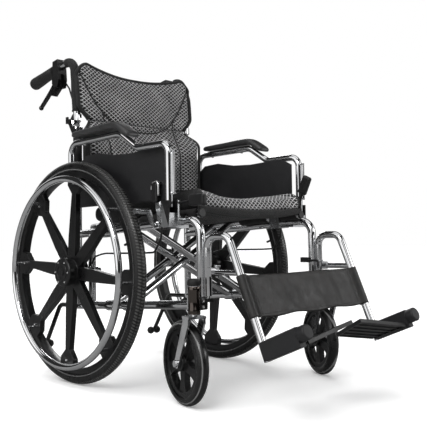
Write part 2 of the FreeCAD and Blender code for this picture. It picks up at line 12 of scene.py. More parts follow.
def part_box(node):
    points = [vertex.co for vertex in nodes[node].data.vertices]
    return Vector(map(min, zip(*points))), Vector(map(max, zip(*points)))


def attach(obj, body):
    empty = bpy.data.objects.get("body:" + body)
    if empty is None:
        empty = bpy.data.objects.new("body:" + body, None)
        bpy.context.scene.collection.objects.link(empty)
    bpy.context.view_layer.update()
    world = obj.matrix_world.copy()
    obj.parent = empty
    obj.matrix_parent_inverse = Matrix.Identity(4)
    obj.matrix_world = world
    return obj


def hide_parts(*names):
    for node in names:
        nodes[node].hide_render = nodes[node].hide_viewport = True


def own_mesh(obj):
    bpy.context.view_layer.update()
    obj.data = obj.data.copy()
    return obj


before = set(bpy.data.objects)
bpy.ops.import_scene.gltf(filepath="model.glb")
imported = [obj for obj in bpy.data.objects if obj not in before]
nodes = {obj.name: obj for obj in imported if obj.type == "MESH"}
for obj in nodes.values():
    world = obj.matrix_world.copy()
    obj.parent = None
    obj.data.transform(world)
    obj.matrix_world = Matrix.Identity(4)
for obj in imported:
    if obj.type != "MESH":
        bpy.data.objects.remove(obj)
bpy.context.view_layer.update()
scene = bpy.context.scene
scene.view_settings.view_transform = "Standard"
SIDES = {"right": -1, "left": 1}
MM = 0.001

# ---------------------------------------------------------------- sizes from the frame
TILT = math.radians(3.5)        # the seat rises this much towards the front
LEG_SLOPE = math.radians(23.0)  # the hangers' legs, from upright


def mid(node):
    low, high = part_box(node)
    return (low + high) / 2


def size(node):
    low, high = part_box(node)
    return high - low


WHEEL_C = mid("right_tyre")
CANE_X = abs(mid("right_back_cane").x)      # plane of the side frames' tubes
CANE_R = size("right_back_cane").x / 2
AXLE_Y = WHEEL_C.y
BACK_PIVOT = Vector((0, AXLE_Y + 88 * MM, 738 * MM))
X, Y, Z = Vector((1, 0, 0)), Vector((0, 1, 0)), Vector((0, 0, 1))


# ---------------------------------------------------------------- camera and light
def look_through():
    """The camera, its place and its heading in degrees."""
    place, yaw, pitch, roll = (-1.374, -1.432, 0.395), -43.86, 2.36, -0.78
    data = bpy.data.cameras.new("camera")
    data.sensor_width = 36.0
    data.lens = 59.44
    data.shift_x, data.shift_y = 0.0271, -0.012
    camera = bpy.data.objects.new("camera", data)
    turn = Matrix.Rotation(math.radians(yaw), 4, "Z") @ Matrix.Rotation(math.radians(90 + pitch), 4, "X")
    camera.matrix_world = Matrix.Translation(place) @ turn @ Matrix.Rotation(math.radians(roll), 4, "Z")
    scene.collection.objects.link(camera)
    scene.camera = camera


def soft_light(name, place, aim, width, watts):
    data = bpy.data.lights.new(name, "AREA")
    data.shape = "RECTANGLE"
    data.size, data.size_y, data.energy = width, width * 0.7, watts
    lamp = bpy.data.objects.new(name, data)
    lamp.location = place
    lamp.rotation_euler = (Vector(aim) - Vector(place)).to_track_quat("-Z", "Y").to_euler()
    scene.collection.objects.link(lamp)


def studio():
    """A bright surround for the eye, and bands of light and dark for what the chrome mirrors."""
    world = bpy.data.worlds.new("studio")
    scene.world = world
    world.use_nodes = True
    tree = world.node_tree
    tree.nodes.clear()
    out = tree.nodes.new("ShaderNodeOutputWorld")
    mix = tree.nodes.new("ShaderNodeMixShader")
    seen = tree.nodes.new("ShaderNodeBackground")
    seen.inputs["Color"].default_value = (1, 1, 1, 1)
    seen.inputs["Strength"].default_value = 1.0
    mirrored = tree.nodes.new("ShaderNodeBackground")
    path = tree.nodes.new("ShaderNodeLightPath")
    coord = tree.nodes.new("ShaderNodeTexCoord")
    split = tree.nodes.new("ShaderNodeSeparateXYZ")
    tree.links.new(coord.outputs["Generated"], split.inputs[0])
    total = None
    for axis, spread, strength in (((-0.9, 0.1, 0.35), 0.80, 1.5), ((0.75, -0.6, 0.3), 0.88, 1.2),
                                   ((0.0, 0.0, 1.0), 0.84, 1.2), ((0.3, 0.95, 0.15), 0.86, 0.9),
                                   ((-0.35, -0.9, 0.55), 0.93, 1.2)):
        dot = tree.nodes.new("ShaderNodeVectorMath")
        dot.operation = "DOT_PRODUCT"
        dot.inputs[1].default_value = Vector(axis).normalized()
        tree.links.new(coord.outputs["Generated"], dot.inputs[0])
        patch = tree.nodes.new("ShaderNodeMapRange")
        patch.interpolation_type = "SMOOTHSTEP"
        patch.inputs["From Min"].default_value = spread
        patch.inputs["From Max"].default_value = spread + 0.06
        patch.inputs["To Max"].default_value = strength
        tree.links.new(dot.outputs["Value"], patch.inputs["Value"])
        if total is None:
            total = patch.outputs["Result"]
            continue
        add = tree.nodes.new("ShaderNodeMath")
        tree.links.new(total, add.inputs[0])
        tree.links.new(patch.outputs["Result"], add.inputs[1])
        total = add.outputs[0]
    base = tree.nodes.new("ShaderNodeMath")
    base.inputs[1].default_value = 0.035
    tree.links.new(total, base.inputs[0])
    tree.links.new(base.outputs[0], mirrored.inputs["Strength"])
    tree.links.new(path.outputs["Is Camera Ray"], mix.inputs[0])
    tree.links.new(mirrored.outputs[0], mix.inputs[1])
    tree.links.new(seen.outputs[0], mix.inputs[2])
    tree.links.new(mix.outputs[0], out.inputs[0])
    aim = (0, 0, 0.45)
    soft_light("key", (-2.2, -1.2, 2.3), aim, 1.2, 34)
    soft_light("fill", (1.6, -2.6, 1.5), aim, 1.2, 16)
    soft_light("rim", (1.8, 2.2, 1.9), aim, 1.2, 20)
    data = bpy.data.lights.new("overcast", "SUN")
    data.energy, data.angle = 2.2, math.radians(70)
    lamp = bpy.data.objects.new("overcast", data)
    lamp.rotation_euler = (math.radians(-14), math.radians(-12), 0)
    lamp.visible_glossy = False
    scene.collection.objects.link(lamp)


# ---------------------------------------------------------------- materials
class Look:
    """A procedural material, written as short node expressions."""

    def __init__(self, name, metallic=0.0, coat=0.0, sheen=0.0):
        self.made = bpy.data.materials.new(name)
        self.made.use_nodes = True
        self.tree = self.made.node_tree
        self.shader = self.tree.nodes["Principled BSDF"]
        self.shader.inputs["Metallic"].default_value = metallic
        self.shader.inputs["Coat Weight"].default_value = coat
        self.shader.inputs["Sheen Weight"].default_value = sheen
        self.object_space = self.node("ShaderNodeTexCoord").outputs["Object"]
        self.relief = None

    def node(self, kind, **settings):
        made = self.tree.nodes.new(kind)
        for key, value in settings.items():
            setattr(made, key, value)
        return made

    def put(self, value, socket):
        if isinstance(value, bpy.types.NodeSocket):
            self.tree.links.new(value, socket)
        else:
            socket.default_value = value

    def math(self, operation, *values):
        made = self.node("ShaderNodeMath", operation=operation)
        for value, socket in zip(values, made.inputs):
            self.put(value, socket)
        return made.outputs[0]

    def noise(self, scale, detail=4.0, rough=0.55, distortion=0.0, at=None):
        made = self.node("ShaderNodeTexNoise")
        self.put(at or self.object_space, made.inputs["Vector"])
        for key, value in (("Scale", scale), ("Detail", detail), ("Roughness", rough),
                           ("Distortion", distortion)):
            made.inputs[key].default_value = value
        return made.outputs["Fac"]

    def cells(self, scale, at=None):
        made = self.node("ShaderNodeTexVoronoi")
        self.put(at or self.object_space, made.inputs["Vector"])
        made.inputs["Scale"].default_value = scale
        return made.outputs["Distance"]

    def span(self, value, low, high, to_low=0.0, to_high=1.0):
        """A value's stretch from low to high, mapped smoothly to another."""
        made = self.node("ShaderNodeMapRange", interpolation_type="SMOOTHSTEP")
        for key, number in (("Value", value), ("From Min", low), ("From Max", high),
                            ("To Min", to_low), ("To Max", to_high)):
            self.put(number, made.inputs[key])
        return made.outputs["Result"]

    def blend(self, share, first, second):
        made = self.node("ShaderNodeMix", data_type="RGBA")
        self.put(share, made.inputs["Factor"])
        for colour, socket in ((first, made.inputs["A"]), (second, made.inputs["B"])):
            self.put(colour if isinstance(colour, bpy.types.NodeSocket) else (*colour, 1.0), socket)
        return made.outputs["Result"]

    def axes(self, space=None):
        made = self.node("ShaderNodeSeparateXYZ")
        self.put(space or self.object_space, made.inputs[0])
        return made.outputs[0], made.outputs[1], made.outputs[2]

    def raise_by(self, height, metres, strength=1.0):
        made = self.node("ShaderNodeBump")
        made.inputs["Strength"].default_value = strength
        made.inputs["Distance"].default_value = metres
        self.put(height, made.inputs["Height"])
        if self.relief is not None:
            self.put(self.relief, made.inputs["Normal"])
        self.relief = made.outputs[0]

    def finish(self, colour, roughness):
        self.put(colour, self.shader.inputs["Base Color"])
        self.put(roughness, self.shader.inputs["Roughness"])
        if self.relief is not None:
            self.put(self.relief, self.shader.inputs["Normal"])
        return self.made


def metal(name, bright, dark, rough_low, rough_high, ripple=0.0003):
    look = Look(name, metallic=1.0)
    haze = look.noise(9.0, 5.0)
    wipe = look.noise(140.0, 6.0, 0.7)
    look.raise_by(look.noise(16.0, 2.0), ripple, 0.5)
    look.raise_by(wipe, 0.00003, 0.4)
    rough = look.math("ADD", look.span(haze, 0.3, 0.75, rough_low, rough_high),
                      look.span(wipe, 0.55, 0.8, 0.0, 0.06))
    return look.finish(look.blend(look.span(haze, 0.25, 0.8), bright, dark), rough)


def plastic(name, base, light, rough_low, rough_high, grain=1400.0, depth=0.00012, coat=0.0):
    look = Look(name, coat=coat)
    patch = look.noise(14.0, 6.0, 0.6)
    fine = look.noise(grain, 3.0, 0.6)
    scuff = look.noise(70.0, 8.0, 0.75, 0.6)
    look.raise_by(fine, depth, 0.7)
    look.raise_by(look.noise(22.0, 2.0), 0.0004, 0.25)
    tone = look.math("MULTIPLY", look.span(scuff, 0.52, 0.75), look.span(patch, 0.35, 0.7))
    rough = look.math("ADD", look.span(patch, 0.3, 0.7, rough_low, rough_high),
                      look.span(fine, 0.4, 0.7, 0.0, 0.08))
    return look.finish(look.blend(tone, base, light), rough)


def tyre_look(name, centre, ribs, half_tread, radius):
    """Rubber with cross ribs on the tread, painted lighter than their grooves as painted highlight and shade,
    a painted highlight along a rounded line on the sidewall, and fine rings on the sidewall.
    """
    look = Look(name)
    x, y, z = look.axes()
    dy = look.math("SUBTRACT", y, centre.y)
    dz = look.math("SUBTRACT", z, centre.z)
    turn = look.math("ARCTAN2", dz, dy)
    out = look.math("SQRT", look.math("ADD", look.math("MULTIPLY", dy, dy), look.math("MULTIPLY", dz, dz)))
    across = look.math("ABSOLUTE", look.math("SUBTRACT", look.math("ABSOLUTE", x), abs(centre.x)))
    slant = look.math("ADD", look.math("MULTIPLY", turn, ribs), look.math("MULTIPLY", across, 300.0))
    rib = look.span(look.math("SINE", slant), -0.35, 0.35)
    tread = look.span(across, half_tread, half_tread * 0.86)
    tread = look.math("MULTIPLY", tread, look.span(out, radius * 0.958, radius * 0.968))
    groove = look.span(look.math("ABSOLUTE", look.math("SUBTRACT", across, half_tread * 0.4)), 0.0006, 0.0016)
    block = look.math("MULTIPLY", look.math("MULTIPLY", rib, groove), tread)
    look.raise_by(block, 0.0024)
    rings = look.math("SINE", look.math("MULTIPLY", out, 3400.0))
    look.raise_by(rings, 0.00012, 0.6)
    grain = look.noise(900.0, 4.0)
    look.raise_by(grain, 0.0001, 0.6)
    dust = look.math("MULTIPLY", look.noise(24.0, 7.0, 0.7), tread)
    shade = look.blend(look.span(dust, 0.3, 0.7), (0.003, 0.003, 0.003), (0.016, 0.016, 0.0155))
    # painted highlight and shade: the tread's raised blocks painted lighter than the grooves between them
    shade = look.blend(look.math("MULTIPLY", block, 0.75), shade, (0.075, 0.075, 0.073))
    # painted highlight: a thin lighter ring on the sidewall
    from_highlight_line = look.math("ABSOLUTE", look.math("SUBTRACT", out, radius * 0.925))
    shade = look.blend(look.span(from_highlight_line, 0.0016, 0.0008), shade, (0.12, 0.12, 0.12))
    return look.finish(shade, look.span(look.noise(35.0), 0.3, 0.7, 0.22, 0.38))


def mesh_cloth(name, wide, tall):
    """Knitted spacer mesh, light yarn around dark diamond openings, in the piece's own flat coordinates."""
    look = Look(name, sheen=0.06)
    flat = look.node("ShaderNodeUVMap", uv_map="cloth").outputs[0]
    u, v, _ = look.axes(flat)
    u_part = look.math("MULTIPLY", look.math("ADD", u, look.math("MULTIPLY", look.noise(9.0, 2.0), 0.004)),
                       math.pi / wide)
    v_part = look.math("MULTIPLY", v, math.pi / tall)
    rising = look.math("ABSOLUTE", look.math("SINE", look.math("ADD", u_part, v_part)))
    falling = look.math("ABSOLUTE", look.math("SINE", look.math("SUBTRACT", u_part, v_part)))
    open_part = look.span(look.math("MINIMUM", rising, falling), 0.25, 0.42)
    along = look.math("ADD", u, look.math("MULTIPLY", v, 0.4))
    knit = look.math("SINE", look.math("MULTIPLY", along, 4200.0))
    fuzz = look.noise(1800.0, 3.0)
    look.raise_by(look.math("SUBTRACT", 1.0, open_part), 0.0016)
    look.raise_by(knit, 0.00018, 0.5)
    look.raise_by(fuzz, 0.00015, 0.5)
    patch = look.noise(18.0, 4.0)
    yarn = look.blend(look.span(patch, 0.3, 0.7), (0.42, 0.42, 0.425), (0.66, 0.66, 0.665))
    yarn = look.blend(look.span(knit, -1.0, 1.0, 0.0, 0.4), yarn, (0.10, 0.10, 0.10))
    # painted shade: the yarn darkened along its flanks where it dips towards the openings
    flank_shade = look.span(look.math("MINIMUM", rising, falling), 0.08, 0.36)
    yarn = look.blend(look.math("MULTIPLY", flank_shade, 0.6), yarn, (0.06, 0.06, 0.06))
    shade = look.blend(open_part, yarn, (0.002, 0.002, 0.002))
    return look.finish(shade, look.span(fuzz, 0.3, 0.7, 0.55, 0.8))


def woven(name, base, light, pitch=0.0011):
    look = Look(name, sheen=0.05)
    x, y, z = look.axes()
    step = 2 * math.pi / pitch
    warp = look.math("SINE", look.math("MULTIPLY", look.math("ADD", x, y), step))
    weft = look.math("SINE", look.math("MULTIPLY", look.math("SUBTRACT", z, y), step))
    weave = look.math("MULTIPLY", warp, weft)
    look.raise_by(look.noise(30.0, 3.0), 0.0012, 0.3)
    look.raise_by(weave, 0.00022, 0.8)
    patch = look.noise(12.0, 5.0)
    tone = look.math("MULTIPLY", look.span(weave, -1.0, 1.0), look.span(patch, 0.2, 0.8, 0.4, 1.0))
    return look.finish(look.blend(tone, base, light), look.span(patch, 0.3, 0.7, 0.6, 0.8))


def leatherette(name):
    """Worn coated cloth, in small creases, painted darker in their hollows as painted shade."""
    look = Look(name)
    grain = look.cells(700.0)
    crease = look.noise(55.0, 8.0, 0.7)
    patch = look.noise(11.0, 3.0)
    look.raise_by(crease, 0.0016, 0.35)
    look.raise_by(grain, 0.0003, 0.6)
    # painted shade: darker where the crease relief is low, mottled by slow patches
    tone = look.math("MULTIPLY", look.span(crease, 0.42, 0.72), look.span(patch, 0.35, 0.65, 0.35, 1.0))
    shade = look.blend(tone, (0.005, 0.0045, 0.0042), (0.024, 0.021, 0.0195))
    return look.finish(shade, look.span(crease, 0.3, 0.7, 0.40, 0.58))


def grip_look(name):
    """Soft rubber with fine rings along the handle."""
    look = Look(name)
    _, y, _ = look.axes()
    look.raise_by(look.span(look.math("SINE", look.math("MULTIPLY", y, 900.0)), -0.4, 0.4), 0.0007)
    look.raise_by(look.noise(700.0), 0.0001, 0.6)
    patch = look.noise(30.0, 5.0)
    return look.finish(look.blend(look.span(patch, 0.3, 0.7), (0.003, 0.003, 0.003), (0.009, 0.009, 0.009)),
                       look.span(patch, 0.3, 0.7, 0.40, 0.58))


CHROME = metal("chrome", (0.80, 0.80, 0.81), (0.62, 0.63, 0.64), 0.04, 0.11)
STEEL = metal("steel", (0.72, 0.72, 0.72), (0.52, 0.52, 0.53), 0.12, 0.24)
CAST = metal("cast_silver", (0.60, 0.61, 0.62), (0.42, 0.43, 0.44), 0.22, 0.36, 0.0006)
DARK_CHROME = metal("dark_chrome", (0.11, 0.095, 0.085), (0.06, 0.05, 0.045), 0.1, 0.22)
MAG = plastic("mag_plastic", (0.002, 0.002, 0.0022), (0.007, 0.007, 0.0073), 0.24, 0.4, 1100.0, 0.0001)
BLACK = plastic("black_plastic", (0.002, 0.002, 0.0022), (0.009, 0.009, 0.0093), 0.32, 0.48)
PANEL = plastic("panel_plastic", (0.006, 0.006, 0.007), (0.015, 0.015, 0.016), 0.42, 0.58, 900.0, 0.0002)
PAD = plastic("pad_foam", (0.022, 0.022, 0.0225), (0.052, 0.052, 0.053), 0.26, 0.40, 1700.0, 0.00016)
BLACK_METAL = plastic("black_enamel", (0.002, 0.002, 0.002), (0.008, 0.008, 0.008), 0.2, 0.34, 500.0,
                      0.00005, coat=0.4)
RUBBER = plastic("plain_rubber", (0.003, 0.003, 0.003), (0.009, 0.009, 0.009), 0.45, 0.65, 800.0, 0.0002)
GRIP = grip_look("grip_rubber")
MESH = mesh_cloth("mesh_cloth", 0.0155, 0.0115)
CLOTH = woven("black_cloth", (0.002, 0.002, 0.002), (0.009, 0.009, 0.0092))
SKIN = leatherette("leatherette")
THREAD = woven("thread", (0.010, 0.010, 0.010), (0.05, 0.05, 0.05), 0.0006)

LOOKS = {
    "frame": CHROME, "saddles": CAST, "wheel": MAG, "handrim": CHROME, "hub_cap": MAG, "axle": STEEL,
    "fork": CHROME, "caster": MAG, "hanger": CHROME, "hanger_latch": BLACK, "foot_block": PANEL,
    "footplate": BLACK, "arm_tube": CHROME, "arm_pad": PAD, "side_panel": PANEL, "arm_lock": BLACK,
    "back_cane": CHROME, "push_grip": GRIP, "brake_perch": BLACK, "hand_brake": BLACK_METAL,
    "back_latch": BLACK, "brake_lever": BLACK, "brake_shoe": CAST, "brake_cable": BLACK,
    "tip_lever": BLACK_METAL, "brace_a": CHROME, "brace_b": CHROME,
}
BEVELLED = {"wheel": 1.6, "caster": 1.2, "saddles": 1.4, "footplate": 1.0, "foot_block": 1.0, "fork": 1.0,
            "hanger_latch": 1.2, "arm_lock": 0.8, "brake_perch": 1.5, "hand_brake": 1.2, "brake_lever": 0.8,
            "back_latch": 0.8, "brake_shoe": 0.8, "side_panel": 0.8}

# a second look for the faces that a test of their Y, from the axle, and Z picks out
TWO_TONE = {
    "saddles": (BLACK, lambda y, z: -0.390 < y < -0.358 and z > 0.448),
    "brake_lever": (CAST, lambda y, z: z < 0.4815 or z > 0.5325),
    "hanger_latch": (CAST, lambda y, z: y < -0.478),
}


def dress_frame():
    for name, piece in nodes.items():
        kind = name.split("_", 1)[1] if name.split("_")[0] in SIDES else name
        if kind in ("tyre", "caster_tyre"):
            ribs, tread, radius = (230.0, 0.0145, 0.305) if kind == "tyre" else (0.5, 0.006, 0.1)
            look = tyre_look(name + "_rubber", mid(name), ribs, tread, radius)
        else:
            look = LOOKS.get(kind, CLOTH)
        piece.data.materials.clear()
        piece.data.materials.append(look)
        if kind in TWO_TONE:
            second, chosen = TWO_TONE[kind]
            piece.data.materials.append(second)
            for face in piece.data.polygons:
                at = piece.matrix_world @ face.center
                face.material_index = int(chosen(at.y - AXLE_Y, at.z))
        if kind in BEVELLED:
            weld = piece.modifiers.new("weld", "WELD")
            weld.merge_threshold = 0.00002
            edge = piece.modifiers.new("edges", "BEVEL")
            edge.width = BEVELLED[kind] * MM
            edge.segments = 2
            edge.limit_method = "ANGLE"
            edge.angle_limit = math.radians(38)
            edge.harden_normals = True


# ---------------------------------------------------------------- mesh helpers
def new_piece(name, mesh_or_bm, look):
    if isinstance(mesh_or_bm, bmesh.types.BMesh):
        data = bpy.data.meshes.new(name)
        mesh_or_bm.to_mesh(data)
        mesh_or_bm.free()
    else:
        data = mesh_or_bm
    piece = bpy.data.objects.new(name, data)
    scene.collection.objects.link(piece)
    data.materials.append(look)
    for face in data.polygons:
        face.use_smooth = True
    return piece


def from_grid(name, rows, look, close_rows=False, close_ends=False):
    """A surface through rows of points. Rows may close on themselves, and the ends may be capped."""
    bm = bmesh.new()
    made = [[bm.verts.new(p) for p in row] for row in rows]
    count = len(rows[0])
    for r in range(len(rows) - 1):
        for c in range(count if close_rows else count - 1):
            d = (c + 1) % count
            bm.faces.new((made[r][c], made[r][d], made[r + 1][d], made[r + 1][c]))
    if close_ends:
        bm.faces.new(made[0][::-1])
        bm.faces.new(made[-1])
    bmesh.ops.recalc_face_normals(bm, faces=bm.faces)
    return new_piece(name, bm, look)


def cord_mesh(name, points, radius, look, sides=10):
    """A round cord through points."""
    points = [Vector(p) for p in points]
    rows = []
    side = None
    for i, p in enumerate(points):
        ahead = (points[min(i + 1, len(points) - 1)] - points[max(i - 1, 0)]).normalized()
        if side is None:
            side = ahead.orthogonal().normalized()
        side = (side - ahead * side.dot(ahead)).normalized()
        up = ahead.cross(side)
        rows.append(circle(p, side, up, radius, sides))
    return from_grid(name, rows, look, close_rows=True, close_ends=True)


def stitches(name, points, pitch=0.0045, radius=0.0005, look=THREAD):
    """A row of short threads along a line of points on a surface."""
    bm = bmesh.new()
    points = [Vector(p) for p in points]
    for a, b in zip(points, points[1:]):
        count = max(1, round((b - a).length / pitch))
        for k in range(count):
            start, end = a.lerp(b, (k + 0.15) / count), a.lerp(b, (k + 0.8) / count)
            ahead = end - start
            turn = ahead.to_track_quat("Z", "Y").to_matrix().to_4x4()
            place = Matrix.Translation((start + end) / 2) @ turn
            bmesh.ops.create_cone(bm, cap_ends=True, segments=6, radius1=radius, radius2=radius,
                                  depth=ahead.length, matrix=place)
    return new_piece(name, bm, look)


def bolt(name, place, axis, radius, height, look=STEEL, sides=32, hollow=True):
    """A screw head with a bevelled edge and a hexagon socket."""
    bm = bmesh.new()
    turn = Vector(axis).to_track_quat("Z", "Y").to_matrix().to_4x4()
    bmesh.ops.create_cone(bm, cap_ends=True, segments=sides, radius1=radius, radius2=radius * 0.9,
                          depth=height, matrix=Matrix.Translation(Vector(place)) @ turn)
    if hollow:
        top = max(bm.faces, key=lambda f: (f.calc_center_median() - Vector(place)).dot(Vector(axis)))
        bmesh.ops.inset_region(bm, faces=[top], thickness=radius * 0.4)
        bmesh.ops.translate(bm, verts=top.verts, vec=-Vector(axis).normalized() * height * 0.45)
    piece = new_piece(name, bm, look)
    piece.data.set_sharp_from_angle(angle=math.radians(40))
    return piece


def ring(name, place, axis, radius, thick, look):
    """A torus."""
    turn = Vector(axis).to_track_quat("Z", "Y").to_matrix().to_4x4()
    rows = []
    for i in range(64):
        a = 2 * math.pi * i / 64
        spoke = Vector((math.cos(a), math.sin(a), 0))
        rows.append([turn @ (spoke * (radius + thick * math.cos(b)) + Vector((0, 0, thick * math.sin(b))))
                     + Vector(place) for b in (2 * math.pi * k / 12 for k in range(12))])
    rows.append(rows[0])
    return from_grid(name, rows, look, close_rows=True)


def fit(piece, body):
    """Give a piece the body it moves with."""
    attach(piece, body)


def circle(centre, across, up, radius, count):
    """Points around a centre."""
    return [centre + (across * math.cos(a) + up * math.sin(a)) * radius
            for a in (2 * math.pi * k / count for k in range(count))]


def thicken(piece, thickness):
    piece.modifiers.new("thick", "SOLIDIFY").thickness = thickness


def made_final(piece):
    """Replace a piece's mesh by what its modifiers make of it."""
    shown = piece.evaluated_get(bpy.context.evaluated_depsgraph_get())
    data = bpy.data.meshes.new_from_object(shown)
    piece.modifiers.clear()
    piece.data = data


def flat_coordinates(piece, pick=None):
    """Lay the cloth's pattern on in metres, by the way each face looks."""
    data = piece.data
    layer = data.uv_layers.new(name="cloth")
    co = np.empty(len(data.vertices) * 3)
    data.vertices.foreach_get("co", co)
    co = co.reshape(-1, 3)
    corner = np.empty(len(data.loops), int)
    data.loops.foreach_get("vertex_index", corner)
    normal = np.empty(len(data.polygons) * 3)
    data.polygons.foreach_get("normal", normal)
    faces = np.abs(normal.reshape(-1, 3))
    totals = np.empty(len(data.polygons), int)
    data.polygons.foreach_get("loop_total", totals)
    way = np.repeat(faces.argmax(1) if pick is None else np.full(len(faces), pick), totals)
    p = co[corner]
    u = np.where(way == 0, p[:, 1], p[:, 0])
    v = np.where(way == 2, p[:, 1], p[:, 2])
    layer.data.foreach_set("uv", np.stack([u, v], 1).ravel())


def puffed(piece, pressure, cap, held):
    """Blow a closed cloth form up a little by cloth simulation. held(co) says which points stay sewn down."""
    data = piece.data
    start = np.array([v.co for v in data.vertices])
    pins = piece.vertex_groups.new(name="sewn")
    pins.add([i for i, co in enumerate(start) if held(co)], 1.0, "REPLACE")
    cloth = piece.modifiers.new("cloth", "CLOTH")
    cloth.settings.quality = 4
    cloth.settings.mass = 0.25
    cloth.settings.tension_stiffness = 12
    cloth.settings.compression_stiffness = 12
    cloth.settings.bending_stiffness = 0.4
    cloth.settings.use_pressure = True
    cloth.settings.uniform_pressure_force = pressure
    cloth.settings.effector_weights.gravity = 0
    cloth.settings.vertex_group_mass = "sewn"
    cloth.settings.shrink_min = -0.02
    for number in range(1, 21):
        scene.frame_set(number)
    shown = piece.evaluated_get(bpy.context.evaluated_depsgraph_get())
    end = np.array([v.co for v in shown.data.vertices])
    piece.modifiers.clear()
    scene.frame_set(1)
    move = end - start
    length = np.linalg.norm(move, axis=1, keepdims=True)
    move *= np.minimum(1.0, cap / np.maximum(length, 1e-9))
    data.vertices.foreach_set("co", (start + move).ravel())
    data.update()


def subdivided(piece):
    """One smoothing subdivision, made final."""
    finer = piece.modifiers.new("finer", "SUBSURF")
    finer.levels = finer.render_levels = 1
    made_final(piece)
    for face in piece.data.polygons:
        face.use_smooth = True


def rough_cloth(place, scale, depth):
    """Slow, seeded unevenness for cloth."""
    return depth * noise.noise(Vector(place) * scale)


def sheet_over(piece):
    """A finder of the piece's surface: from a point, along a direction, to where it is met."""
    tree = BVHTree.FromObject(piece, bpy.context.evaluated_depsgraph_get())

    def find(start, direction, lift):
        hit, _, _, _ = tree.ray_cast(Vector(start), Vector(direction))
        return None if hit is None else hit - Vector(direction).normalized() * lift
    return find


# ---------------------------------------------------------------- soft pieces
BLACK_END = 183 * MM            # where the cushion's black ends begin


def seat_frame():
    """Centre, half length and half thickness of the seat cushion, and its tilt as a matrix."""
    across, along, high = size("seat_cushion")
    c, s = math.cos(TILT), math.sin(TILT)
    length = (along * c - high * s) / (c * c - s * s)
    thick = (high * c - along * s) / (c * c - s * s)
    place = Matrix.Translation(mid("seat_cushion")) @ Matrix.Rotation(-TILT, 4, "X")
    return place, across / 2, length / 2, thick / 2


def on_fold(piece, body):
    """Ride a body, with a mesh of its own."""
    fit(piece, body)
    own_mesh(piece)


def slab(name, half, look, step=0.009, edge=0.016):
    """A closed block of even squares with rounded edges, centred on the origin."""
    counts = [max(2, round(2 * h / step)) for h in half]
    bm = bmesh.new()
    found = {}

    def vertex(i, j, k):
        if (i, j, k) not in found:
            p = Vector([(-1 + 2 * n / c) * h for n, c, h in zip((i, j, k), counts, half)])
            core = Vector([max(-h + edge, min(h - edge, q)) for q, h in zip(p, half)])
            out = p - core
            if out.length > 1e-9:
                p = core + out.normalized() * edge
            found[(i, j, k)] = bm.verts.new(p)
        return found[(i, j, k)]

    for axis in range(3):
        a, b = [n for n in range(3) if n != axis]
        for end in (0, counts[axis]):
            for i in range(counts[a]):
                for j in range(counts[b]):
                    ring_of = []
                    for di, dj in ((0, 0), (1, 0), (1, 1), (0, 1)):
                        at = [0, 0, 0]
                        at[axis], at[a], at[b] = end, i + di, j + dj
                        ring_of.append(vertex(*at))
                    bm.faces.new(ring_of)
    bmesh.ops.recalc_face_normals(bm, faces=bm.faces)
    return new_piece(name, bm, look)


def seat_sag(x, half_x, depth):
    """How far the seat's cloth hangs at x."""
    return depth * (1 - min(1.0, abs(x) / half_x) ** 2)


def seat_cushion():
    """Crowned cushion in mesh cloth with black ends, hanging a little in the middle."""
    place, half_x, half_y, half_z = seat_frame()
    half = Vector((half_x - 3 * MM, half_y - 4 * MM, half_z - 3 * MM))
    piece = slab("cushion", half, MESH)
    for v in piece.data.vertices:
        x, y, z = v.co
        share = z / half.z
        v.co.z -= seat_sag(x, half.x, (12.5 + 3.5 * share) * MM)
        v.co.y *= 1 - 0.012 * (1 - min(1, abs(x / half.x)) ** 6)
        v.co.z += rough_cloth((x, y, z), 14.0, 1.8 * MM)
    puffed(piece, 3.0, 7 * MM, lambda co: co[2] < -half.z * 0.9)
    piece.data.transform(place)
    piece.data.materials.append(CLOTH)
    subdivided(piece)
    back = place.inverted()
    for face in piece.data.polygons:
        local = back @ face.center
        plain = abs(local.x) > BLACK_END or local.z + seat_sag(local.x, half.x, 9 * MM) < -half.z * 0.92
        face.material_index = int(plain)
    flat_coordinates(piece)
    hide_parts("seat_cushion")
    on_fold(piece, "seat")

    # piping around the mesh, where the black ends begin, and along its lower front edge
    find = sheet_over(piece)
    turn = place.to_3x3()
    lines = []
    for sign in (-1, 1):
        x = sign * BLACK_END
        over = [find(place @ Vector((x, y * MM, 0.1)), turn @ Vector((0, 0, -1)), -0.6 * MM)
                for y in range(-214, 200, 9)]
        front = [find(place @ Vector((x, -0.4, z * MM)), turn @ Vector((0, 1, 0)), -0.6 * MM)
                 for z in range(-18, 14, 4)]
        lines.append(front + over)
    lines.append([find(place @ Vector((x * MM, -0.4, -half.z * 0.86 - seat_sag(x * MM, half.x, 9 * MM))),
                       turn @ Vector((0, 1, 0)), -0.6 * MM) for x in range(-183, 184, 6)])
    for number, line in enumerate(lines):
        line = smooth_line([p for p in line if p is not None], 1)
        piping = cord_mesh("cushion_piping_%d" % (number + 1), line, 1.8 * MM, CLOTH, 8)
        on_fold(piping, "seat")


